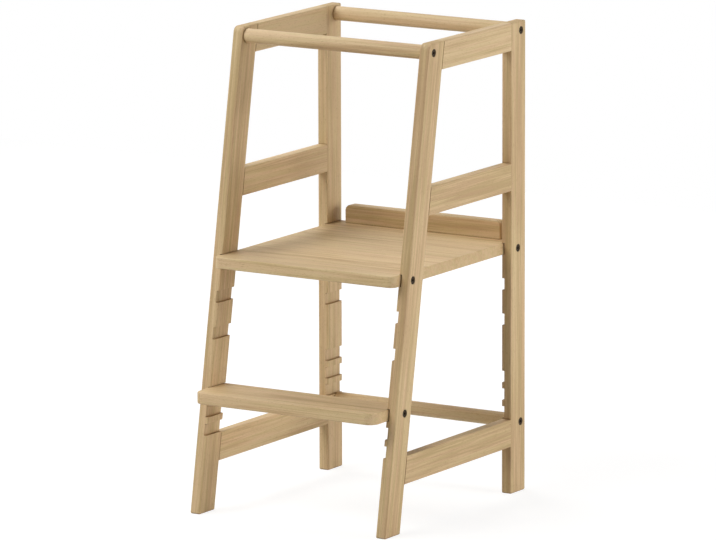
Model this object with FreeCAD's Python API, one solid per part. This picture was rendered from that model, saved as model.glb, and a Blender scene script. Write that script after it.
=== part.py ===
import FreeCAD, Part
import math
import os

# Toddler kitchen helper stool: a bolted beech tower with a platform at worktop height, a step in
# front, guard rails on both sides and round bars across the front and the back.
#
# All sizes are in millimetres. +Z is up and z = 0 is the floor. The step faces -Y, and +X is on
# the right of someone who looks at the step. The origin is on the floor, in the middle of the
# width and of the whole depth from the step's front edge to the back of the rear posts.

# ---------------------------------------------------------------------------------------------
# Driving dimensions
# ---------------------------------------------------------------------------------------------

# The two side frames
overall_height = 900.0
overall_width = 428.0            # outer face to outer face of the side frames
floor_depth = 506.0              # front of the front feet to the back of the rear posts
top_depth = 346.0                # the same depth at the top, where the front posts have leaned in
stock_thickness = 21.0           # posts and rails, across the stool
stock_width = 52.0               # posts, along the wide face
rail_width = 53.0                # rails, top edge to bottom edge
edge_round = 2.5                 # eased long edges of posts, rails and boards
foot_round = 3.0                 # corners of the feet, and the back upper corner of the rear posts
top_corner_round = 12.0          # front upper corner of the front posts
middle_rail_bottom = 581.0
bottom_rail_bottom = 90.5

# Slots across the inner faces of all four posts
slot_depth = 6.0
slot_count = 3                   # heights for the platform, and as many for the step
platform_slot_bottom = 458.5     # the highest platform slot, which is the one in use
platform_slot_pitch = 67.5
step_slot_bottom = 213.5         # the highest step slot, which is the one in use
step_slot_pitch = 34.0

# Boards
board_thickness = 22.0
slot_height_clearance = 0.5      # slot height over board thickness
slot_end_clearance = 2.0         # board end to slot floor, at each end
platform_overhang = 25.0         # platform edge ahead of the front posts
platform_corner_round = 14.0
step_overhang = 52.0             # step edge ahead of the front posts
step_corner_round = 20.0
toe_board_thickness = 22.5
toe_board_height = 35.0
toe_board_end_gap = 21.0         # toe board end to the inner face of the post
toe_board_corner_round = 11.0

# Round bars
bar_diameter = 27.0
bar_end_chamfer = 0.8
front_bar_drop = 18.0            # bar axis below the top of the frame
rear_bar_drop = 17.5
lower_bar_height = 134.5
front_bar_set_back = 17.5        # bar axis behind the front face of the front post
rear_bar_set_in = 17.0           # axis of both rear bars ahead of the back of the rear post

# Bolts, with a low round head and a hexagon socket
bolt_diameter = 6.0
bolt_hole_clearance = 0.5        # on the diameter
bolt_head_diameter = 14.5
bolt_head_height = 4.5
bolt_head_recess = 0.3           # head top below the outer face of the post
bolt_head_chamfer = 0.6
counterbore_clearance = 0.8      # on the diameter
socket_across_flats = 5.0
socket_depth = 2.8
bolt_tip_chamfer = 0.8
bolt_tip_space = 3.0             # hole beyond the tip of the bolt
bar_bolt_length = 30.0
board_bolt_length = 50.0
platform_front_bolt_set_back = 16.0   # bolt axis behind the front face of the front post
platform_rear_bolt_set_in = 27.0      # bolt axis ahead of the back of the rear post
step_bolt_set_back = 30.0

# Threaded inserts in the ends of the round bars
insert_diameter = 10.0
insert_length = 15.0
thread_clearance = 0.2           # on the diameter, around threads and pressed pieces

# Barrel nuts, let into the boards from below
barrel_nut_diameter = 10.0
barrel_nut_length = 14.0
barrel_nut_tip_run = 2.5         # bolt tip beyond the barrel nut
nut_slot_width = 1.5
nut_slot_depth = 1.5

# Wooden dowels that pin the rails to the posts
dowel_diameter = 8.0
dowel_length = 38.0
dowel_end_chamfer = 1.0
dowel_end_space = 1.0            # hole beyond each end of the dowel
dowel_edge_distance = 13.0       # dowel axis to the rail's upper or lower edge

# Screws that hold the toe board, put in from below the platform
screw_diameter = 4.5
screw_length = 46.0
screw_head_diameter = 8.6
screw_spacing = 130.0
screw_count = 3
screw_point_length = 6.0
screw_point_diameter = 1.0
screw_recess_length = 4.4
screw_recess_width = 1.1
screw_recess_depth = 1.4

# Tools for cutting
cut_margin = 1.0                 # how far a cutting shape runs past the face that it opens
plane_tolerance = 0.01

# ---------------------------------------------------------------------------------------------
# Places worked out from the driving dimensions
# ---------------------------------------------------------------------------------------------

lean_run = floor_depth - top_depth
front_section = stock_width * math.hypot(lean_run, overall_height) / overall_height
slot_height = board_thickness + slot_height_clearance

outer_face_x = overall_width / 2
inner_face_x = outer_face_x - stock_thickness
board_end_x = inner_face_x + slot_depth - slot_end_clearance
head_seat_x = outer_face_x - bolt_head_recess - bolt_head_height

step_middle_z = step_slot_bottom + board_thickness / 2
platform_middle_z = platform_slot_bottom + board_thickness / 2

# Depth from the back of the rear posts to the front face of a front post, at a height
def front_face_depth(z):
    return floor_depth - lean_run * z / overall_height


overall_depth = max(floor_depth, front_face_depth(step_middle_z) + step_overhang)
rear_face_y = overall_depth / 2
rear_post_front_y = rear_face_y - stock_width


def front_face_y(z):
    """Front face of the leaning front posts, at height z."""
    return rear_face_y - front_face_depth(z)


def front_post_back_y(z):
    """Back face of the leaning front posts, at height z."""
    return front_face_y(z) + front_section


rail_bottoms = {
    "top": overall_height - rail_width,
    "middle": middle_rail_bottom,
    "bottom": bottom_rail_bottom,
}
front_bar_z = overall_height - front_bar_drop
rear_bar_z = overall_height - rear_bar_drop
rear_bar_y = rear_face_y - rear_bar_set_in

# Axis of each bolt, as (y, z); every one is used on the left and on the right
bar_stations = {
    "front_top_bar": (front_face_y(front_bar_z) + front_bar_set_back, front_bar_z),
    "rear_top_bar": (rear_bar_y, rear_bar_z),
    "rear_lower_bar": (rear_bar_y, lower_bar_height),
}
platform_stations = [
    (front_face_y(platform_middle_z) + platform_front_bolt_set_back, platform_middle_z),
    (rear_face_y - platform_rear_bolt_set_in, platform_middle_z),
]
step_stations = [
    (front_face_y(step_middle_z) + step_bolt_set_back, step_middle_z),
]
front_post_stations = [bar_stations["front_top_bar"], platform_stations[0], step_stations[0]]
rear_post_stations = [
    bar_stations["rear_top_bar"],
    platform_stations[1],
    bar_stations["rear_lower_bar"],
]
slot_bottoms = [platform_slot_bottom - platform_slot_pitch * row for row in range(slot_count)]
slot_bottoms += [step_slot_bottom - step_slot_pitch * row for row in range(slot_count)]

sides = {"left": -1, "right": 1}


# ---------------------------------------------------------------------------------------------
# Shapes used by several pieces
# ---------------------------------------------------------------------------------------------

def point(x, y, z):
    return FreeCAD.Vector(x, y, z)


def outline(corners):
    """Closed wire through (point, radius) corners; a radius of 0 leaves the corner sharp."""
    ends = []
    arcs = []
    for index, (corner, radius) in enumerate(corners):
        to_last = (corners[index - 1][0] - corner).normalize()
        to_next = (corners[(index + 1) % len(corners)][0] - corner).normalize()
        half_angle = to_last.getAngle(to_next) / 2
        reach = radius / math.tan(half_angle)
        start = corner + to_last * reach
        end = corner + to_next * reach
        ends.append((start, end))
        if radius > 0:
            inward = (to_last + to_next).normalize()
            middle = corner + inward * (radius / math.sin(half_angle) - radius)
            arcs.append(Part.Arc(start, middle, end).toShape())
        else:
            arcs.append(None)
    edges = []
    for index, arc in enumerate(arcs):
        if arc is not None:
            edges.append(arc)
        line_end = ends[(index + 1) % len(ends)][0]
        edges.append(Part.makeLine(ends[index][1], line_end))
    return Part.Wire(edges)


def edges_in_plane(shape, axis, level):
    """Edges that lie wholly where the coordinate named by axis has the value level."""
    found = []
    for edge in shape.Edges:
        low = getattr(edge.BoundBox, axis + "Min")
        high = getattr(edge.BoundBox, axis + "Max")
        if abs(low - level) < plane_tolerance and abs(high - level) < plane_tolerance:
            found.append(edge)
    return found


def frame_piece(side, corners):
    """Flat piece of a side frame, from (y, z, radius) corners, between its two wide faces."""
    start_x = min(side * inner_face_x, side * outer_face_x)
    placed = [(point(start_x, y, z), radius) for y, z, radius in corners]
    return Part.Face(outline(placed)).extrude(point(stock_thickness, 0, 0))


def rod(x_from, x_to, y, z, diameter):
    """Cylinder along X between two places."""
    start = min(x_from, x_to)
    length = abs(x_to - x_from)
    return Part.makeCylinder(diameter / 2, length, point(start, y, z), point(1, 0, 0))


def chamfered_rod(x_from, x_to, y, z, diameter, chamfer, chamfered_ends):
    """Cylinder along X, chamfered at each x in chamfered_ends."""
    shape = rod(x_from, x_to, y, z, diameter)
    edges = []
    for end in chamfered_ends:
        edges += edges_in_plane(shape, "X", end)
    return shape.makeChamfer(chamfer, edges)


def bolt_cut(side, y, z, tip_x):
    """Counterbore and clearance hole for a bolt put in from the outer face, up to its tip."""
    mouth = rod(side * head_seat_x, side * (outer_face_x + cut_margin), y, z,
                bolt_head_diameter + counterbore_clearance)
    hole = rod(side * (tip_x - bolt_tip_space), side * outer_face_x, y, z,
               bolt_diameter + bolt_hole_clearance)
    return mouth.fuse(hole)


def dowel_centres(rail):
    """Middle of each dowel of a rail, as (y, z): two at its front end and two at its back end."""
    bottom = rail_bottoms[rail]
    centres = []
    for z in (bottom + dowel_edge_distance, bottom + rail_width - dowel_edge_distance):
        centres.append((front_post_back_y(z), z))
        centres.append((rear_post_front_y, z))
    return centres


def dowel_shape(side, y, z, diameter, length):
    middle_x = side * (inner_face_x + outer_face_x) / 2
    return Part.makeCylinder(diameter / 2, length, point(middle_x, y - length / 2, z),
                             point(0, 1, 0))


def dowel_cuts(side, rails):
    """Holes for the dowels of the named rails; each hole spans the joint it pins."""
    cuts = []
    for rail in rails:
        for y, z in dowel_centres(rail):
            cuts.append(dowel_shape(side, y, z, dowel_diameter + thread_clearance,
                                    dowel_length + 2 * dowel_end_space))
    return cuts


# ---------------------------------------------------------------------------------------------
# Side frames
# ---------------------------------------------------------------------------------------------

def slot_cuts(side):
    """The empty shapes of all the slots across the inner face of a post."""
    cuts = []
    for bottom in slot_bottoms:
        start_x = min(side * (inner_face_x - cut_margin), side * (inner_face_x + slot_depth))
        cuts.append(Part.makeBox(slot_depth + cut_margin, overall_depth, slot_height,
                                 point(start_x, -overall_depth / 2, bottom)))
    return cuts


def finish_post(side, blank, stations):
    """Eases the long edges of a post, then cuts its slots, bolt holes and dowel holes."""
    edges = edges_in_plane(blank, "X", side * inner_face_x)
    edges += edges_in_plane(blank, "X", side * outer_face_x)
    post = blank.makeFillet(edge_round, edges)
    cuts = slot_cuts(side) + dowel_cuts(side, rail_bottoms)
    for y, z in stations:
        cuts.append(bolt_cut(side, y, z, inner_face_x))
    return post.cut(cuts)


def front_post(side):
    blank = frame_piece(side, [
        (front_face_y(0), 0, foot_round),
        (front_post_back_y(0), 0, foot_round),
        (front_post_back_y(overall_height), overall_height, 0),
        (front_face_y(overall_height), overall_height, top_corner_round),
    ])
    return finish_post(side, blank, front_post_stations)


def rear_post(side):
    blank = frame_piece(side, [
        (rear_post_front_y, 0, foot_round),
        (rear_face_y, 0, foot_round),
        (rear_face_y, overall_height, foot_round),
        (rear_post_front_y, overall_height, 0),
    ])
    return finish_post(side, blank, rear_post_stations)


def rail(side, name):
    """Rail between the posts: square at the back end, and cut to the lean at the front end."""
    bottom = rail_bottoms[name]
    top = bottom + rail_width
    blank = frame_piece(side, [
        (front_post_back_y(bottom), bottom, 0),
        (rear_post_front_y, bottom, 0),
        (rear_post_front_y, top, 0),
        (front_post_back_y(top), top, 0),
    ])
    long_edges = []
    for edge in edges_in_plane(blank, "Z", bottom) + edges_in_plane(blank, "Z", top):
        if edge.BoundBox.YLength > rail_width:
            long_edges.append(edge)
    return blank.makeFillet(edge_round, long_edges).cut(dowel_cuts(side, [name]))


def frame_dowels(side):
    dowels = []
    for name in rail_bottoms:
        for y, z in dowel_centres(name):
            dowel = dowel_shape(side, y, z, dowel_diameter, dowel_length)
            ends = edges_in_plane(dowel, "Y", y - dowel_length / 2)
            ends += edges_in_plane(dowel, "Y", y + dowel_length / 2)
            dowels.append(dowel.makeChamfer(dowel_end_chamfer, ends))
    return dowels


# ---------------------------------------------------------------------------------------------
# Round bars, with a threaded insert in each end
# ---------------------------------------------------------------------------------------------

bar_bolt_tip_x = head_seat_x - bar_bolt_length


def bar(y, z):
    shape = chamfered_rod(-inner_face_x, inner_face_x, y, z, bar_diameter, bar_end_chamfer,
                          [-inner_face_x, inner_face_x])
    cuts = []
    for side in sides.values():
        cuts.append(rod(side * (inner_face_x - insert_length), side * (inner_face_x + cut_margin),
                        y, z, insert_diameter + thread_clearance))
        cuts.append(rod(side * (bar_bolt_tip_x - bolt_tip_space), side * inner_face_x, y, z,
                        bolt_diameter + bolt_hole_clearance))
    return shape.cut(cuts)


def inserts(stations):
    shapes = []
    for y, z in stations:
        for side in sides.values():
            body = rod(side * (inner_face_x - insert_length), side * inner_face_x, y, z,
                       insert_diameter)
            shapes.append(body.cut(rod(side * (inner_face_x - insert_length - cut_margin),
                                       side * (inner_face_x + cut_margin), y, z,
                                       bolt_diameter + thread_clearance)))
    return shapes


# ---------------------------------------------------------------------------------------------
# Bolts and barrel nuts
# ---------------------------------------------------------------------------------------------

def hexagon_socket(side, y, z):
    """Hexagon pocket in the head of a bolt, open towards the outside of the stool."""
    corner_radius = socket_across_flats / math.sqrt(3)
    floor_x = side * (head_seat_x + bolt_head_height - socket_depth)
    corners = []
    for step in range(6):
        angle = math.radians(60 * step)
        corners.append((point(floor_x, y + corner_radius * math.cos(angle),
                              z + corner_radius * math.sin(angle)), 0))
    depth = side * (socket_depth + cut_margin)
    return Part.Face(outline(corners)).extrude(point(depth, 0, 0))


def bolts(stations, length):
    """One bolt from each side at every station, with its head on the seat of the counterbore."""
    shapes = []
    for y, z in stations:
        for side in sides.values():
            head_top_x = side * (head_seat_x + bolt_head_height)
            tip_x = side * (head_seat_x - length)
            head = chamfered_rod(side * head_seat_x, head_top_x, y, z, bolt_head_diameter,
                                 bolt_head_chamfer, [head_top_x])
            shank = chamfered_rod(tip_x, side * head_seat_x, y, z, bolt_diameter,
                                  bolt_tip_chamfer, [tip_x])
            shapes.append(head.fuse(shank).removeSplitter().cut(hexagon_socket(side, y, z)))
    return shapes


board_bolt_tip_x = head_seat_x - board_bolt_length
nut_axis_x = board_bolt_tip_x + barrel_nut_tip_run + barrel_nut_diameter / 2
nut_rise = barrel_nut_length / 2     # end of the nut above the axis of the bolt


def nut_hole(side, y, z):
    """Blind hole for a barrel nut, from the underside of a board up to the top of the nut."""
    depth = board_thickness / 2 + cut_margin + nut_rise
    return Part.makeCylinder((barrel_nut_diameter + thread_clearance) / 2, depth,
                             point(side * nut_axis_x, y, z + nut_rise - depth))


def barrel_nuts(stations):
    """Nuts with a cross hole for the bolt and a screwdriver slot in the lower end."""
    shapes = []
    for y, z in stations:
        for side in sides.values():
            x = side * nut_axis_x
            body = Part.makeCylinder(barrel_nut_diameter / 2, barrel_nut_length,
                                     point(x, y, z - nut_rise))
            thread = rod(x - barrel_nut_diameter, x + barrel_nut_diameter, y, z,
                         bolt_diameter + thread_clearance)
            slot = Part.makeBox(2 * barrel_nut_diameter, nut_slot_width,
                                nut_slot_depth + cut_margin,
                                point(x - barrel_nut_diameter, y - nut_slot_width / 2,
                                      z - nut_rise - cut_margin))
            shapes.append(body.cut([thread, slot]))
    return shapes


def board_fastener_cuts(stations):
    cuts = []
    for y, z in stations:
        for side in sides.values():
            cuts.append(bolt_cut(side, y, z, board_bolt_tip_x))
            cuts.append(nut_hole(side, y, z))
    return cuts


# ---------------------------------------------------------------------------------------------
# Boards
# ---------------------------------------------------------------------------------------------

def board_blank(front_y, back_y, bottom_z, corner_round):
    """Board with rounded front corners and eased edges all round, top and bottom."""
    corners = [
        (point(-board_end_x, front_y, bottom_z), corner_round),
        (point(board_end_x, front_y, bottom_z), corner_round),
        (point(board_end_x, back_y, bottom_z), 0),
        (point(-board_end_x, back_y, bottom_z), 0),
    ]
    blank = Part.Face(outline(corners)).extrude(point(0, 0, board_thickness))
    edges = edges_in_plane(blank, "Z", bottom_z)
    edges += edges_in_plane(blank, "Z", bottom_z + board_thickness)
    return blank.makeFillet(edge_round, edges)


def step_board():
    front_y = front_face_y(step_middle_z) - step_overhang
    blank = board_blank(front_y, front_post_back_y(step_middle_z), step_slot_bottom,
                        step_corner_round)
    return blank.cut(board_fastener_cuts(step_stations))


platform_top_z = platform_slot_bottom + board_thickness
toe_board_middle_y = rear_face_y - toe_board_thickness / 2
screw_places = [screw_spacing * (index - (screw_count - 1) / 2) for index in range(screw_count)]
screw_cone_height = (screw_head_diameter - screw_diameter) / 2


def platform_board():
    front_y = front_face_y(platform_middle_z) - platform_overhang
    blank = board_blank(front_y, rear_face_y, platform_slot_bottom, platform_corner_round)
    cuts = board_fastener_cuts(platform_stations)
    for x in screw_places:
        foot = point(x, toe_board_middle_y, platform_slot_bottom)
        cuts.append(Part.makeCylinder((screw_diameter + thread_clearance) / 2, board_thickness,
                                      foot))
        cuts.append(Part.makeCone(screw_head_diameter / 2, screw_diameter / 2, screw_cone_height,
                                  foot))
    return blank.cut(cuts)


def toe_board():
    """Low board along the back edge of the platform, with its upper corners rounded."""
    half_length = inner_face_x - toe_board_end_gap
    front_y = rear_face_y - toe_board_thickness
    top_z = platform_top_z + toe_board_height
    corners = [
        (point(-half_length, front_y, platform_top_z), 0),
        (point(half_length, front_y, platform_top_z), 0),
        (point(half_length, front_y, top_z), toe_board_corner_round),
        (point(-half_length, front_y, top_z), toe_board_corner_round),
    ]
    blank = Part.Face(outline(corners)).extrude(point(0, toe_board_thickness, 0))
    edges = []
    for edge in edges_in_plane(blank, "Y", front_y) + edges_in_plane(blank, "Y", rear_face_y):
        if edge.BoundBox.ZMax > platform_top_z + plane_tolerance:
            edges.append(edge)
    cuts = []
    for x in screw_places:
        depth = screw_length - board_thickness + bolt_tip_space
        cuts.append(Part.makeCylinder((screw_diameter + thread_clearance) / 2, depth,
                                      point(x, toe_board_middle_y, platform_top_z)))
    return blank.makeFillet(edge_round, edges).cut(cuts)


def toe_board_screws():
    """Countersunk screws with a cross recess, heads flush with the underside of the platform."""
    screws = []
    for x in screw_places:
        foot = point(x, toe_board_middle_y, platform_slot_bottom)
        head = Part.makeCone(screw_head_diameter / 2, screw_diameter / 2, screw_cone_height, foot)
        shank_length = screw_length - screw_point_length
        shank = Part.makeCylinder(screw_diameter / 2, shank_length, foot)
        tip = Part.makeCone(screw_diameter / 2, screw_point_diameter / 2, screw_point_length,
                            foot + point(0, 0, shank_length))
        recess = []
        for wide_x, wide_y in ((screw_recess_length, screw_recess_width),
                               (screw_recess_width, screw_recess_length)):
            recess.append(Part.makeBox(wide_x, wide_y, screw_recess_depth + cut_margin,
                                       foot - point(wide_x / 2, wide_y / 2, cut_margin)))
        screws.append(head.fuse([shank, tip]).removeSplitter().cut(recess))
    return screws


# ---------------------------------------------------------------------------------------------
# Every piece, under its node name
# ---------------------------------------------------------------------------------------------

nodes = {}
for side_name, side_sign in sides.items():
    nodes[side_name + "_front_post"] = [front_post(side_sign)]
    nodes[side_name + "_rear_post"] = [rear_post(side_sign)]
    for rail_name in rail_bottoms:
        nodes[side_name + "_" + rail_name + "_rail"] = [rail(side_sign, rail_name)]
    nodes[side_name + "_frame_dowels"] = frame_dowels(side_sign)

for bar_name, (bar_y, bar_z) in bar_stations.items():
    nodes[bar_name] = [bar(bar_y, bar_z)]

top_bar_stations = [bar_stations["front_top_bar"], bar_stations["rear_top_bar"]]
lower_bar_stations = [bar_stations["rear_lower_bar"]]
nodes["top_bar_bolts"] = bolts(top_bar_stations, bar_bolt_length)
nodes["lower_bar_bolts"] = bolts(lower_bar_stations, bar_bolt_length)
nodes["top_bar_inserts"] = inserts(top_bar_stations)
nodes["lower_bar_inserts"] = inserts(lower_bar_stations)

nodes["platform_board"] = [platform_board()]
nodes["platform_bolts"] = bolts(platform_stations, board_bolt_length)
nodes["platform_barrel_nuts"] = barrel_nuts(platform_stations)
nodes["toe_board"] = [toe_board()]
nodes["toe_board_screws"] = toe_board_screws()

nodes["step_board"] = [step_board()]
nodes["step_bolts"] = bolts(step_stations, board_bolt_length)
nodes["step_barrel_nuts"] = barrel_nuts(step_stations)

os.makedirs("parts", exist_ok=True)
for node_name, pieces in nodes.items():
    solids = []
    for piece in pieces:
        solids += piece.Solids
    shape = solids[0] if len(solids) == 1 else Part.makeCompound(solids)
    if not shape.isValid() or len(solids) != len(pieces):
        raise ValueError(node_name + " did not come out as whole, closed solids")
    shape.exportStep("parts/" + node_name + ".step")
    print(node_name, len(solids), "solid(s)", round(shape.Volume / 1000, 2), "cm3")
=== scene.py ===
# %% [markdown]
# # Toddler kitchen helper stool: its looks
#
# The stool is a bolted tower of light beech: two side frames of posts and rails, a platform, a
# step, a toe board and three round bars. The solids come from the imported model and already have
# their true shape, down to the eased edges, so this lesson leaves them where they are and gives
# each one a finish. The finishes are node materials that follow the wood through the solid, so
# that a face, its edge and its end grain belong to one piece of timber.

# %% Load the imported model
import math

import bpy
from mathutils import Matrix, Vector


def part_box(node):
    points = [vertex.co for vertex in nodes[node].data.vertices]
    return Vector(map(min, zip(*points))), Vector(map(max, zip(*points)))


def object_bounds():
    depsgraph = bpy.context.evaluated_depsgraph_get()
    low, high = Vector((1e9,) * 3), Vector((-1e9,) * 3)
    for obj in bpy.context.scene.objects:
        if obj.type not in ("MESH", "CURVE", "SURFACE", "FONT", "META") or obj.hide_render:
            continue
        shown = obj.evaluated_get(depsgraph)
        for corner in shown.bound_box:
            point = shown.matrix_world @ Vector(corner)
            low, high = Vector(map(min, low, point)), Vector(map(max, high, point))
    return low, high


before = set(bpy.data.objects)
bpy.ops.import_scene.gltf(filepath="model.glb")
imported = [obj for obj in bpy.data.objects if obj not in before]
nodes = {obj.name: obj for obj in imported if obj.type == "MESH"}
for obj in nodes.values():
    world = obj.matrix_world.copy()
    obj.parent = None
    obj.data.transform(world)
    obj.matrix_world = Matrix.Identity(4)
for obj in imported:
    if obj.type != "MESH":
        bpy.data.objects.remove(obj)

cad_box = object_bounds()
print("loaded", len(nodes), "pieces")

# %% [markdown]
# ## Colours
#
# Colours are written below in the 0 to 255 numbers of a screen, the numbers that a picture of the
# real wood gives. A material works with linear light, and one helper turns the first into the
# second. The curve is the one that screens are made to: a short straight part near black, and a
# power above it.

# %% Colour helper
MM = 0.001                       # one millimetre, in Blender's metres


def screen_colour(red, green, blue):
    """Linear colour, with an alpha of 1, from 0 to 255 screen values."""
    linear = []
    for value in (red, green, blue):
        share = value / 255
        linear.append(share / 12.92 if share <= 0.04045 else ((share + 0.055) / 1.055) ** 2.4)
    return (*linear, 1.0)


WHITE = screen_colour(255, 255, 255)
BLACK = screen_colour(0, 0, 0)
print("a screen's middle grey in linear light:", round(screen_colour(128, 128, 128)[0], 3))

# %% [markdown]
# ## Writing shader maths as Python
#
# Wood is a sum of many small fields: rings, streaks, flecks, fibres. They could be wired by hand,
# node by node, but as formulas they are far easier to read and to change. `Signal` wraps one
# output socket, and an expression such as `1 - mask * 0.5` adds the Math nodes that it needs.

# %% Signal
class Signal:
    """One output socket that Python's arithmetic works on."""

    def __init__(self, finish, socket):
        self.finish = finish
        self.socket = socket

    def __add__(self, other):
        return self.finish.maths("ADD", self, other)

    def __sub__(self, other):
        return self.finish.maths("SUBTRACT", self, other)

    def __mul__(self, other):
        return self.finish.maths("MULTIPLY", self, other)

    def __truediv__(self, other):
        return self.finish.maths("DIVIDE", self, other)

    def __pow__(self, other):
        return self.finish.maths("POWER", self, other)

    def __rsub__(self, other):
        return self.finish.maths("SUBTRACT", other, self)

    def __rtruediv__(self, other):
        return self.finish.maths("DIVIDE", other, self)

    def __rpow__(self, other):
        return self.finish.maths("POWER", other, self)

    def __abs__(self):
        return self.finish.maths("ABSOLUTE", self)

    __radd__ = __add__
    __rmul__ = __mul__


# %% [markdown]
# Nodes belong to a material or to the world. `NodeTree` takes that owner and has one method,
# `node`, that adds any kind of node: first its settings, then the values or links of its sockets.

# %% Node tree
class NodeTree:
    """The nodes of a material or of the world."""

    def __init__(self, owner):
        owner.use_nodes = True
        self.owner = owner
        self.tree = owner.node_tree
        self.tree.nodes.clear()

    def node(self, kind, settings=None, sockets=None, output=0):
        """Adds a node with these settings, then fills its sockets; gives one of its outputs."""
        added = self.tree.nodes.new(kind)
        for name, value in (settings or {}).items():
            if name == "stops":
                self.set_stops(added.color_ramp, value)
            else:
                setattr(added, name, value)
        for name, value in (sockets or {}).items():
            if isinstance(value, Signal):
                self.tree.links.new(value.socket, added.inputs[name])
            else:
                added.inputs[name].default_value = value
        return Signal(self, added.outputs[output]) if len(added.outputs) else added

    def set_stops(self, ramp, stops):
        """Replaces a colour ramp's stops by (position, colour) pairs."""
        while len(ramp.elements) < len(stops):
            ramp.elements.new(1.0)
        for element, (position, colour) in zip(ramp.elements, stops):
            element.position = position
            element.color = colour

    def maths(self, operation, *values):
        """A Math node on numbers and signals, in this order."""
        return self.node("ShaderNodeMath", {"operation": operation}, dict(enumerate(values)))


# %% [markdown]
# `Finish` adds short names for the nodes that wood, metal and floor share: where a point lies,
# which way its surface faces, a few sums on vectors, noise, a soft threshold, a mix of colours
# and a shallow relief.

# %% Finish
class Finish(NodeTree):
    """A node tree with short names for the nodes that finishes use again and again."""

    def place(self):
        """The place in the object, in metres."""
        return self.node("ShaderNodeTexCoord", output="Object")

    def facing(self):
        """The direction that the surface faces."""
        return self.node("ShaderNodeNewGeometry", output="Normal")

    def dot(self, first, second):
        """How far the first vector reaches along the second, where that has a length of 1."""
        return self.node("ShaderNodeVectorMath", {"operation": "DOT_PRODUCT"},
                         {0: first, 1: second}, output="Value")

    def scaled(self, vector, scale):
        """The vector times a number."""
        return self.node("ShaderNodeVectorMath", {"operation": "SCALE"},
                         {0: vector, "Scale": scale})

    def vector(self, x, y, z):
        """A vector from its three parts."""
        return self.node("ShaderNodeCombineXYZ", None, {"X": x, "Y": y, "Z": z})

    def noise(self, where, detail=2.0, roughness=0.5):
        """Smooth noise from 0 to 1 over unit cells of the vector `where`."""
        return self.node("ShaderNodeTexNoise", {"noise_dimensions": "3D"},
                         {"Vector": where, "Scale": 1.0, "Detail": detail,
                          "Roughness": roughness}, output="Fac")

    def ease(self, value, low, high):
        """0 below low, 1 above high, and a smooth rise between them."""
        return self.node("ShaderNodeMapRange", {"interpolation_type": "SMOOTHSTEP"},
                         {"Value": value, "From Min": low, "From Max": high}, output="Result")

    def mix(self, share, first, second):
        """The first colour, with this share of the second."""
        return self.node("ShaderNodeMix", {"data_type": "RGBA"},
                         {0: share, 6: first, 7: second}, output=2)

    def bump(self, height, strength, distance):
        """A relief this many mm deep, weakened to the given strength."""
        return self.node("ShaderNodeBump", None,
                         {"Height": height, "Strength": strength, "Distance": distance * MM})

    def surface(self, sockets):
        """Ends a material in a Principled surface with these socket values."""
        shader = self.node("ShaderNodeBsdfPrincipled", None, sockets)
        self.node("ShaderNodeOutputMaterial", None, {"Surface": shader})
        return self.owner


# %% [markdown]
# Wear, painted highlights on edges and lines of painted shade follow the shape, and two nodes can
# read the shape around a point. Bevel gives the way that the surface would face if its edges were
# rounder, so it differs from the real one only along an edge. Ambient Occlusion gives the share
# of short rays that get away from the point, so it falls in a joint or an inner corner.

# %% Edges and corners
def edge_mask(finish, radius, low, high):
    """1 along the object's edges, and 0 on its flat faces."""
    rounded = finish.node("ShaderNodeBevel", {"samples": 4}, {"Radius": radius * MM})
    return finish.ease(1 - finish.dot(finish.facing(), rounded), low, high)


def inner_corner(finish, reach, low, high):
    """1 in joints and inner corners that are narrower than the reach, and 0 in the open."""
    open_share = finish.node("ShaderNodeAmbientOcclusion", {"samples": 6},
                             {"Distance": reach * MM}, output="AO")
    return finish.ease(1 - open_share, low, high)


# %% [markdown]
# ## Beech
#
# Beech is pale, even and fine: straight grain along the piece, rings that show as soft streaks
# on a flat-sawn face, short brown flecks where the rays are cut, and darker, duller end grain.
# A picture of wood wrapped round each piece would show seams at every edge. A solid texture
# doesn't: each point of the piece is looked up in an imaginary log. So the finish needs only
# the direction that the piece's grain runs in, where the heart of the log lay, and a number that
# sends each piece to a different part of the tree.

# %% Beech tones
BEECH_LIGHT = screen_colour(221, 195, 151)
BEECH_MIDDLE = screen_colour(205, 177, 131)
BEECH_DARK = screen_colour(180, 150, 105)
BEECH_FLECK = screen_colour(146, 108, 66)
# the colour of end grain, and also of the painted shade in joints and inner corners
END_GRAIN_AND_SHADE = screen_colour(138, 102, 62)
ROSY = screen_colour(212, 174, 140)
STRAW = screen_colour(202, 180, 130)
print("middle beech in linear light:", [round(value, 3) for value in BEECH_MIDDLE[:3]])

# %% [markdown]
# The log's own axes come first: one along the grain and two across it. The Object coordinate is
# the place in the solid, because every piece's object sits at the origin. Long thin features
# come from noise whose cells are stretched along the grain. A glued board is made of staves, so
# its points are sent to a different part of the log from one stave to the next.

# %% The log's coordinates
HEART_ACROSS = 46.0              # mm from the stool's origin to the heart of the log, measured
HEART_THROUGH = 74.0             # along the two axes that run across the grain
STEP_IN_LOG = 613.0              # mm along the log from one piece's wood to the next piece's


def log_axes(grain):
    """Unit vectors along the grain, and two across it."""
    along = Vector(grain).normalized()
    helper = Vector((1, 0, 0)) if abs(along.x) < 0.5 else Vector((0, 0, 1))
    across = along.cross(helper).normalized()
    return along, across, along.cross(across).normalized()


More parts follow.
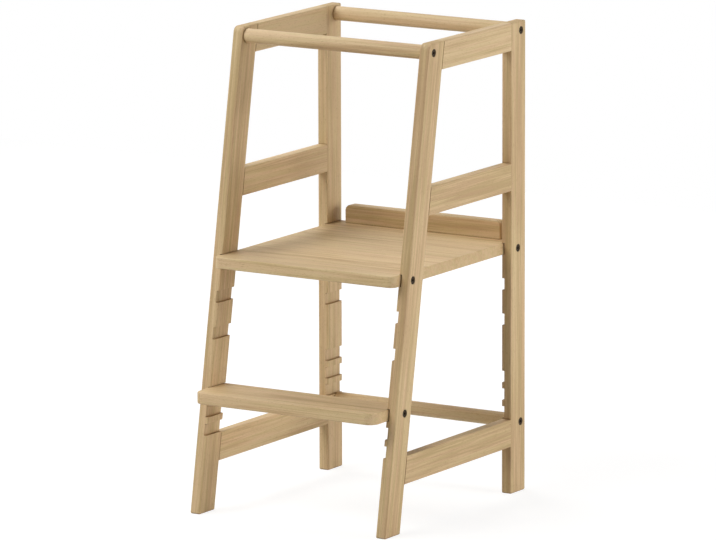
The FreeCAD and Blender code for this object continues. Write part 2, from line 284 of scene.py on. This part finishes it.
class Log:
    """Where a point of a piece lies in its log, in mm."""

    def __init__(self, finish, grain, seed):
        self.finish = finish
        spot = finish.place()
        along, across, through = log_axes(grain)
        self.along = finish.dot(spot, along) / MM + seed * STEP_IN_LOG
        self.across = finish.dot(spot, across) / MM
        self.through = finish.dot(spot, through) / MM

    def cells(self, length, width, detail=2.0, roughness=0.5):
        """Noise with cells of this length along the grain and this width across it, in mm."""
        where = self.finish.vector(self.along / length, self.across / width,
                                   self.through / width)
        return self.finish.noise(where, detail, roughness)

    def glue_up(self, axis, width, seed):
        """Moves each stave of a glued board to its own part of the log; gives its tone."""
        stave = self.finish.dot(self.finish.place(), Vector(axis)) / (width * MM) + seed
        number = self.finish.maths("FLOOR", stave)
        tone = self.finish.node("ShaderNodeTexWhiteNoise", {"noise_dimensions": "1D"},
                                {"W": number}, output="Value")
        self.along = self.along + tone * STEP_IN_LOG
        self.across = self.across + tone * HEART_ACROSS
        self.through = self.through + tone * HEART_THROUGH
        return tone


# %% [markdown]
# The rings are distances from the heart of the log, bent a little by noise. Each ring darkens
# slowly through the summer and ends sharply, which is what makes one edge of a streak crisp.

# %% Growth rings
RING_WIDTH = 2.6                 # mm of growth in a year
RING_WANDER = 9.0                # mm between a ring's furthest strays, inwards and outwards
SUMMER = 0.25                    # share of a year's growth after which the wood darkens
AUTUMN = 0.9                     # share where it is darkest


def growth_rings(log):
    """1 in the dense late wood of each ring, and 0 in the early wood."""
    finish = log.finish
    wander = (log.cells(length=160, width=26) - 0.5) * RING_WANDER
    ring_y = log.across - HEART_ACROSS
    ring_z = log.through - HEART_THROUGH
    radius = (ring_y * ring_y + ring_z * ring_z) ** 0.5 + wander
    year = finish.maths("FRACT", radius / RING_WIDTH)
    return finish.ease(year, SUMMER, AUTUMN) * (1 - finish.ease(year, AUTUMN, 1.0))


print("about", round(25 / RING_WIDTH), "rings in every 25 mm")

# %% [markdown]
# Streaks of four widths run along the grain, from a slow drift of tone down to threads. Each is
# noise whose cells are much longer than they are wide. Added up with the fibres, and less the
# late wood, they say how much lighter or darker the wood is at a point than on the whole.

# %% Streaks
STREAKS = {                      # a cell's length and width in mm, detail, roughness, strength
    "slow drift": (260, 45, 1.0, 0.5, 0.8),
    "broad streaks": (320, 16, 1.0, 0.5, 1.1),
    "narrow streaks": (210, 6, 2.0, 0.6, 1.3),
    "threads": (130, 2.2, 2.0, 0.5, 1.2),
}
FIBRE_STRENGTH = 0.5
RING_STRENGTH = 0.14


def streaks(log, fibres, late_wood):
    """How much lighter than usual the wood is, or darker where this is below 0."""
    total = 0
    for length, width, detail, roughness, strength in STREAKS.values():
        total = total + (log.cells(length, width, detail, roughness) - 0.5) * strength
    return total + (fibres - 0.5) * FIBRE_STRENGTH - late_wood * RING_STRENGTH


print("layers of the figure:", ", ".join(STREAKS))

# %% [markdown]
# A ramp of three tones turns that lightness into the colour of beech. A slow swing between a rosy
# and a straw tint keeps long posts from looking printed. Then come a few thin pale lines, and the
# flecks where a ray is cut. Both show on faces that run along the grain, so a mask holds them
# back on end grain.

# %% Clear wood
BEECH_RAMP = [(0.12, BEECH_DARK), (0.5, BEECH_MIDDLE), (0.88, BEECH_LIGHT)]
TINT_SHARE = 0.3
PALE_LINE_SHARE = 0.35
FLECK_SHARE = 0.3
FLECK_FADE = 0.7                 # how much of a fleck is lost on end grain


def clear_wood(log, lightness, rays, end_on):
    """The colour of fresh beech, with its tints, pale lines and ray flecks."""
    finish = log.finish
    colour = finish.node("ShaderNodeValToRGB", {"stops": BEECH_RAMP}, {"Fac": lightness})
    swing = finish.ease(log.cells(length=190, width=8), low=0.35, high=0.65)
    colour = finish.mix(TINT_SHARE, colour, finish.mix(swing, ROSY, STRAW))
    lines = log.cells(length=420, width=1.5, detail=1.0)
    pale_line = finish.ease(lines, low=0.63, high=0.7)
    colour = finish.mix(pale_line * PALE_LINE_SHARE * (1 - end_on), colour, BEECH_LIGHT)
    fleck = finish.ease(rays, low=0.6, high=0.72) * (1 - end_on * FLECK_FADE)
    return finish.mix(fleck * FLECK_SHARE, colour, BEECH_FLECK)


# %% [markdown]
# The edges and the joints are painted too. The eased edges are made paler, partly as rubbed wear
# and partly as a painted highlight, and the joints and inner corners are painted darker, as
# painted shade.
# End grain is a little darker where it is sanded and sealed, as on the top ends of the posts, and
# much darker in the posts' slots, which are left as sawn. The slots are all lower than the top
# ends, so height tells one from the other.

# %% Wear and painted light on the wood
# share of the paler edges: partly rubbed wear, partly a painted highlight
RUBBED_AND_HIGHLIGHT_SHARE = 0.2
# share of painted shade in joints and inner corners
JOINT_SHADE_SHARE = 0.6
END_SHARE = 0.1                  # of the end grain tone, where end grain is sanded and sealed
SLOT_SHARE = 0.5                 # more of it in the posts' slots
TOP_END = 15.0                   # mm that a sanded top end reaches down
SLOTS_BELOW = 20.0               # mm under the top, where all end grain is left as sawn


def add_wear_and_painted_light(finish, colour, rubbed_and_highlit, end_on, slot_share):
    """Adds the paler edges (rubbed wear and a painted highlight), painted shade in the joints and
    inner corners, and the end grain to a colour.
    """
    # paler edges: partly rubbed wear, partly a painted highlight
    colour = finish.mix(rubbed_and_highlit * RUBBED_AND_HIGHLIGHT_SHARE, colour, BEECH_LIGHT)
    # painted shade: darker where short rays are blocked, in joints and inner corners
    joint_shade = inner_corner(finish, reach=4, low=0.12, high=0.42)
    colour = finish.mix(joint_shade * JOINT_SHADE_SHARE, colour, END_GRAIN_AND_SHADE)
    height = finish.dot(finish.place(), Vector((0, 0, 1)))
    top = cad_box[1].z
    under_top = 1 - finish.ease(height, top - SLOTS_BELOW * MM, top - TOP_END * MM)
    return finish.mix(end_on * (END_SHARE + under_top * slot_share), colour, END_GRAIN_AND_SHADE)


# %% [markdown]
# One function puts a piece's beech together. The masks that colour it also drive its sheen and a
# very shallow relief: fibres and cut rays stand up a little and the late wood lies lower, end
# grain is duller, and rubbed edges are smoother.

# %% Beech finish
STAVE_WIDTH = 43.0               # mm, staves of the platform and the step
STAVE_SPREAD = 0.35              # between the lightest and the darkest stave, along the ramp
MIDDLE_LIGHTNESS = 0.54          # place on the ramp of a piece with no tone of its own
END_FADE = 0.5                   # how much weaker the streaks are on end grain
END_FROM = 0.72                  # where end grain starts, as the cosine between face and grain
END_FULL = 0.93
LACQUER_ROUGHNESS = 0.56
FIBRE_ROUGHNESS = 0.16           # between the smoothest and the roughest fibre
END_ROUGHNESS = 0.14             # more on end grain
RUBBED_SMOOTHNESS = 0.08         # less on rubbed edges
LACQUER_GLOSS = 0.35
FIBRE_RELIEF = 0.6               # shares of the relief's depth
RAY_RELIEF = 0.4
RING_RELIEF = 0.3


def beech(name, grain, seed, tone=0.0, figure=1.0, stave_axis=None, slot_share=0.0):
    """Clear-finished beech with its grain along the vector `grain`."""
    finish = Finish(bpy.data.materials.new(name))
    log = Log(finish, grain, seed)
    if stave_axis is not None:
        tone = tone + (log.glue_up(stave_axis, STAVE_WIDTH, seed) - 0.5) * STAVE_SPREAD
    late_wood = growth_rings(log)
    fibres = log.cells(length=30, width=0.9, roughness=0.6)
    rays = log.cells(length=6, width=1.1, detail=1.0)
    faces_grain = abs(finish.dot(finish.facing(), log_axes(grain)[0]))
    end_on = finish.ease(faces_grain, END_FROM, END_FULL)

    shift = streaks(log, fibres, late_wood) * figure * (1 - end_on * END_FADE)
    colour = clear_wood(log, tone + MIDDLE_LIGHTNESS + shift, rays, end_on)
    # the edge mask: paler colour (rubbed wear and a painted highlight) and smoother sheen
    rubbed_and_highlit = edge_mask(finish, radius=2.2, low=0.004, high=0.07)
    roughness = (LACQUER_ROUGHNESS + (fibres - 0.5) * FIBRE_ROUGHNESS
                 + end_on * END_ROUGHNESS - rubbed_and_highlit * RUBBED_SMOOTHNESS)
    relief = fibres * FIBRE_RELIEF + rays * RAY_RELIEF - late_wood * RING_RELIEF
    return finish.surface({
        "Base Color": add_wear_and_painted_light(finish, colour, rubbed_and_highlit, end_on, slot_share),
        "Roughness": roughness,
        "Specular IOR Level": LACQUER_GLOSS,
        "Normal": finish.bump(relief, strength=0.25, distance=0.12),
    })


# %% [markdown]
# Which way the grain runs is read off each piece's own box: the posts, rails and bars are all
# longest along it. The front posts lean, so their grain follows the line from the foot to the
# top. The staves of the platform and the step run from side to side of the stool, and lie one
# behind another.

# %% Grain directions
SIDE_TO_SIDE = Vector((1, 0, 0))
FRONT_TO_BACK = Vector((0, 1, 0))
GLUED_BOARDS = ("platform_board", "step_board")
END_ZONE = 2 * MM                # a corner this near to the end of a post belongs to that end


def longest_axis(name):
    """Unit vector along the longest side of a piece's box."""
    low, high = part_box(name)
    size = high - low
    axis = max(range(3), key=lambda index: size[index])
    direction = Vector((0, 0, 0))
    direction[axis] = 1
    return direction


def lean_of(name):
    """Unit vector up a leaning front post, from its foot to its top."""
    mesh = nodes[name].data
    low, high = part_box(name)
    top = [v.co.y for v in mesh.vertices if v.co.z > high.z - END_ZONE]
    foot = [v.co.y for v in mesh.vertices if v.co.z < low.z + END_ZONE]
    return Vector((0, max(top) - max(foot), high.z - low.z)).normalized()


def grain_of(name):
    """The direction that the grain of a wooden piece runs in."""
    if name in GLUED_BOARDS:
        return SIDE_TO_SIDE
    return lean_of(name) if name.endswith("front_post") else longest_axis(name)


lean = math.degrees(math.asin(lean_of("right_front_post").y))
print("the front posts' grain leans back by", round(lean, 1), "degrees")

# %% [markdown]
# Pieces of one stool are never quite the same tone, so most of them are set a step lighter or
# darker than middle beech. The glued boards show their streaks more strongly than the posts and
# rails do, and only the posts have slots.

# %% Wooden pieces
BOARD_FIGURE = 1.3               # strength of the glued boards' streaks, against 1 elsewhere
TONES = {                        # steps along the ramp, from dark to light
    "platform_board": 0.15,
    "step_board": 0.15,
    "front_top_bar": 0.2,
    "rear_top_bar": 0.08,
    "rear_lower_bar": 0.2,
    "left_top_rail": 0.3,
    "left_middle_rail": 0.06,
    "left_rear_post": 0.1,
    "right_top_rail": 0.18,
    "right_middle_rail": -0.16,
    "right_bottom_rail": -0.14,
    "right_front_post": -0.14,
    "right_rear_post": -0.08,
}
METAL_WORDS = ("bolts", "inserts", "nuts", "screws")


def dress(name, material):
    """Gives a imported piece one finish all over."""
    for slot in nodes[name].material_slots:
        slot.material = material
    print(name, "is finished in", material.name)


wooden = sorted(name for name in nodes if not name.endswith(METAL_WORDS))
for seed, name in enumerate(wooden):
    glued = name in GLUED_BOARDS
    dress(name, beech("beech." + name, grain_of(name), seed, TONES.get(name, 0.0),
                      figure=BOARD_FIGURE if glued else 1.0,
                      stave_axis=FRONT_TO_BACK if glued else None,
                      slot_share=SLOT_SHARE if name.endswith("post") else 0.0))

# %% [markdown]
# ## Metal
#
# The bolts are blackened steel: nearly black, a little brown, with a soft sheen, and rubbed
# brighter on the rim of the head and of the socket, where a key turns. The hidden fittings,
# which are the inserts, the barrel nuts and the screws, are zinc plated: pale grey with a faint
# cloudy bloom. Each is a thin coating over steel, so one function makes both.

# %% Metal finishes
CLOUD_SHARE = 0.35               # how much of the worn tone the clouds let through
METALLIC = 0.9                   # a little under 1, because of the coating
CLOUD_ROUGHNESS = 0.2            # between the smoothest and the roughest cloud
RIM_SMOOTHNESS = 0.1             # less on rims


def metal(name, body, worn, cloud_size, roughness, wear):
    """Steel with a cloudy coating that has rubbed thin along its edges."""
    finish = Finish(bpy.data.materials.new(name))
    cloud = finish.noise(finish.scaled(finish.place(), 1 / (cloud_size * MM)), detail=3.0)
    rim = edge_mask(finish, radius=0.5, low=0.01, high=0.2) * wear
    return finish.surface({
        "Base Color": finish.mix(cloud * CLOUD_SHARE + rim, body, worn),
        "Metallic": METALLIC,
        "Roughness": roughness + (cloud - 0.5) * CLOUD_ROUGHNESS - rim * RIM_SMOOTHNESS,
        "Normal": finish.bump(cloud, strength=0.1, distance=0.05),
    })


black_steel = metal("blackened steel", body=screen_colour(38, 27, 11),
                    worn=screen_colour(78, 62, 40), cloud_size=1.6, roughness=0.55, wear=0.2)
zinc_steel = metal("zinc plated steel", body=screen_colour(150, 152, 150),
                   worn=screen_colour(205, 205, 200), cloud_size=2.4, roughness=0.36, wear=0.4)
for name in sorted(set(nodes) - set(wooden)):
    dress(name, black_steel if name.endswith("bolts") else zinc_steel)

# %% [markdown]
# ## Floor and background
#
# The stool stands on a pale floor under a white sky. Light that is on its way to the stool meets
# a plain pale floor and a dim sky. A ray that comes from the camera, or by way of a reflection,
# sees them as white: the sky at a strength of 1, and the floor as a glow plus a small share of
# its own light, which keeps the stool's shadow. The panels light the floor best near the stool,
# so the glow is a little weaker there, and grows to its full strength further out.

# %% What is seen directly
def seen_directly(finish):
    """1 for camera, glossy and transmission rays, 0 for the light that reaches a surface."""
    kinds = ("Is Camera Ray", "Is Glossy Ray", "Is Transmission Ray")
    camera, glossy, through = [finish.node("ShaderNodeLightPath", output=kind) for kind in kinds]
    return finish.maths("MINIMUM", camera + glossy + through, 1.0)


# %% Floor
FLOOR_SIZE = 6.0                 # metres
FLOOR_COLOUR = screen_colour(232, 231, 229)
FLOOR_PATCHES = screen_colour(236, 235, 233)
FLOOR_GLOW = 0.9                 # what a directly seen floor sends out by itself
NEAR_GLOW = screen_colour(248, 248, 248)
NEAR_REACH = 0.6                 # metres from the middle of the stool
FAR_REACH = 1.6
SHADOW_SHARE = 0.33              # of the floor's own light, in what is seen directly


def pale_floor():
    """The floor's material: painted for light, and nearly white for the eye."""
    finish = Finish(bpy.data.materials.new("pale floor"))
    paint = finish.mix(finish.noise(finish.place()), FLOOR_COLOUR, FLOOR_PATCHES)
    lit = finish.node("ShaderNodeBsdfDiffuse", None, {"Color": paint})
    dim = finish.node("ShaderNodeBsdfDiffuse", None,
                      {"Color": finish.mix(SHADOW_SHARE, BLACK, paint)})
    away = finish.node("ShaderNodeVectorMath", {"operation": "LENGTH"}, {0: finish.place()},
                       output="Value")
    glow_colour = finish.mix(finish.ease(away, NEAR_REACH, FAR_REACH), NEAR_GLOW, WHITE)
    glow = finish.node("ShaderNodeEmission", None,
                       {"Color": glow_colour, "Strength": FLOOR_GLOW})
    white = finish.node("ShaderNodeAddShader", None, {0: dim, 1: glow})
    seen = finish.node("ShaderNodeMixShader", None, {0: seen_directly(finish), 1: lit, 2: white})
    finish.node("ShaderNodeOutputMaterial", None, {"Surface": seen})
    return finish.owner


half = FLOOR_SIZE / 2
floor_mesh = bpy.data.meshes.new("floor")
floor_mesh.from_pydata([(-half, -half, 0), (half, -half, 0), (half, half, 0), (-half, half, 0)],
                       [], [(0, 1, 2, 3)])
floor_mesh.materials.append(pale_floor())
floor = bpy.data.objects.new("floor", floor_mesh)
bpy.context.scene.collection.objects.link(floor)
print("floor", FLOOR_SIZE, "m square")

# %% [markdown]
# ## Light
#
# Studio light for pale wood is large and soft. The outer faces on the right are the brightest
# upright ones, the faces towards the step a little dimmer, and the undersides and inner corners
# fall off gently. Six large panels around the stool do that: three in front, two low on the
# right and one high behind on the left. They are kept at a plain level, so that a colour comes
# out about as it was written, and the sky adds almost nothing to them.

# %% Sky
SKY_LIGHT = 0.01                 # its strength where it lights a surface, against 1 as it is seen


def pale_sky():
    """A world that looks white and hardly lights the stool."""
    sky = Finish(bpy.data.worlds.new("pale sky"))
    strength = SKY_LIGHT + (1 - SKY_LIGHT) * seen_directly(sky)
    background = sky.node("ShaderNodeBackground", None, {"Color": WHITE, "Strength": strength})
    sky.node("ShaderNodeOutputWorld", None, {"Surface": background})
    bpy.context.scene.world = sky.owner


pale_sky()
print("sky lights at", SKY_LIGHT)

# %% Panels
PANEL_SIZE = 2.0                 # metres
PANEL_DISTANCE = 4.5             # metres from the middle of the stool
STOOL_MIDDLE = Vector((0.0, 0.0, 0.45))
PANELS = {                       # turn from straight ahead to the right, height angle, watts
    "front left panel": (-50, 40, 65),
    "front panel": (-20, 40, 72),
    "front right panel": (40, 25, 9),
    "low right panel": (100, 10, 95),
    "low back right panel": (130, 10, 32),
    "high back left panel": (-120, 60, 75),
}


def panel(name, turn, height, power):
    """Square soft light that faces the middle of the stool."""
    lamp = bpy.data.lights.new(name, "AREA")
    lamp.shape = "SQUARE"
    lamp.size = PANEL_SIZE
    lamp.energy = power
    stand = bpy.data.objects.new(name, lamp)
    bpy.context.scene.collection.objects.link(stand)
    turn_by, raise_by = math.radians(turn), math.radians(height)
    outward = Vector((math.sin(turn_by) * math.cos(raise_by),
                      -math.cos(turn_by) * math.cos(raise_by), math.sin(raise_by)))
    stand.location = STOOL_MIDDLE + outward * PANEL_DISTANCE
    stand.rotation_euler = (-outward).to_track_quat("-Z", "Y").to_euler()
    stand.visible_camera = False
    print(name, "of", power, "W")


for name, (turn, height, power) in PANELS.items():
    panel(name, turn, height, power)

# %% [markdown]
# ## Camera
#
# The photograph was taken from far off with a long lens, from the right of the step and a little
# above, so the posts stay nearly parallel. The camera stands where straight lines drawn along the
# stool's edges meet the picture's own edges best. It has no shift, so other views stay true.

# %% Camera
CAMERA_PLACE = Vector((7.2429, -11.6690, 3.0526))
CAMERA_TURN = 31.815             # degrees from straight ahead, towards the left
CAMERA_TILT = 10.755             # degrees below level
CAMERA_ROLL = -0.150             # degrees
CAMERA_LENS = 375.86             # mm
SENSOR_WIDTH = 36.0              # mm

lens = bpy.data.cameras.new("camera")
lens.sensor_width = SENSOR_WIDTH
lens.lens = CAMERA_LENS
camera = bpy.data.objects.new("camera", lens)
bpy.context.scene.collection.objects.link(camera)
turned = Matrix.Rotation(math.radians(CAMERA_TURN), 4, "Z")
tilted = Matrix.Rotation(math.radians(90 - CAMERA_TILT), 4, "X")
rolled = Matrix.Rotation(math.radians(CAMERA_ROLL), 4, "Z")
camera.matrix_world = Matrix.Translation(CAMERA_PLACE) @ turned @ tilted @ rolled
bpy.context.scene.camera = camera
bpy.context.scene.view_settings.view_transform = "Standard"
print("camera", round(CAMERA_PLACE.length, 2), "m away, lens", CAMERA_LENS, "mm")
